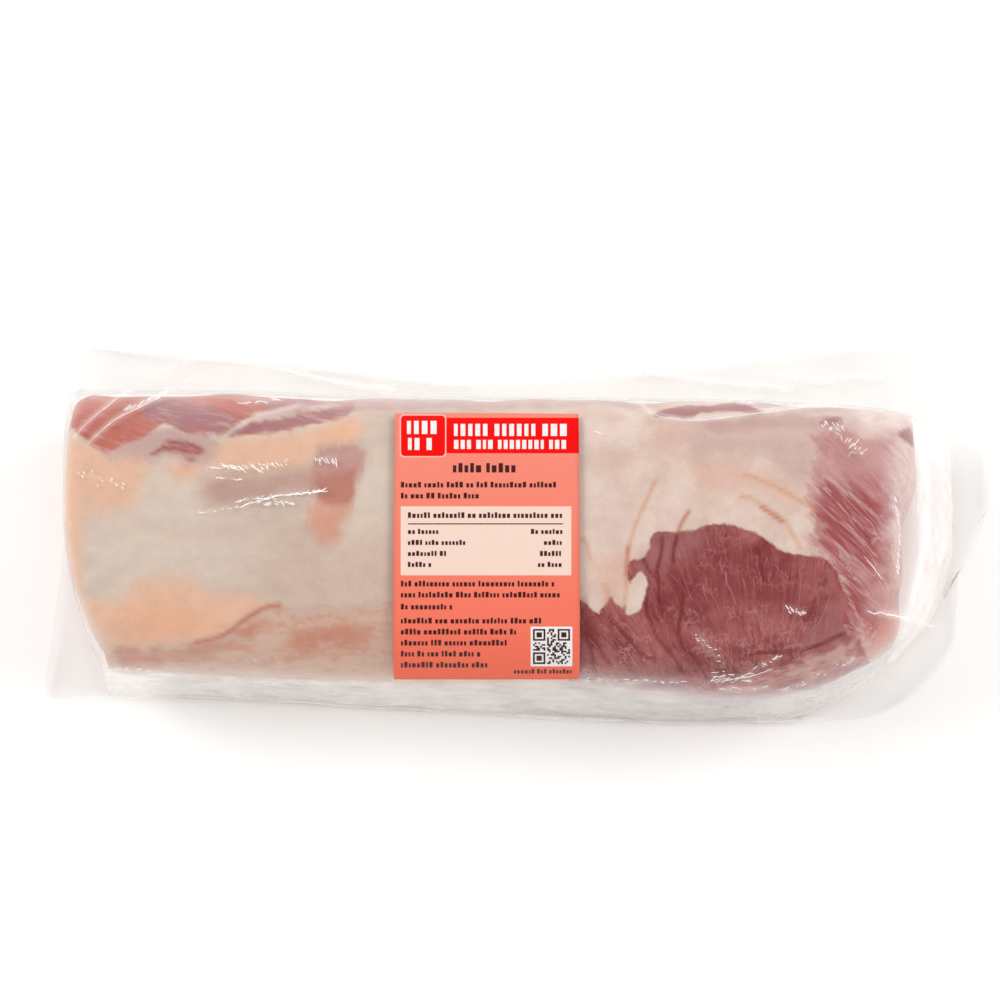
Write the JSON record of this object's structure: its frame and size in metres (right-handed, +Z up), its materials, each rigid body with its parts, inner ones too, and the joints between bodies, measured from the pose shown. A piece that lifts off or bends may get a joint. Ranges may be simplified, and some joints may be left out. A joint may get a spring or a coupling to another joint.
{
  "type": "packed raw pork loin",
  "caption": "Boneless raw pork loin, fat side up, sealed in a clear film bag with flat margins and a paper label across its top.",
  "frame": {"origin": "on the table plane, at the middle of the bag's outline", "axes": "+X along the loin from its flat cut end to its plump end, +Y away from the label's lower edge, +Z up"},
  "size_m": [0.332, 0.138, 0.0587],
  "materials": {
    "meat": "moist raw pork: dark red muscle, cream and peach fat, grey-white membrane",
    "film": "thin clear glossy film, slightly milky where it stands off the meat",
    "label": "smooth printed paper, coral with a red band, a cream panel and dark print bars"
  },
  "bodies": {
    "root": {"sealed_bag": "meat", "label": "label"}
  },
  "joints": []
}
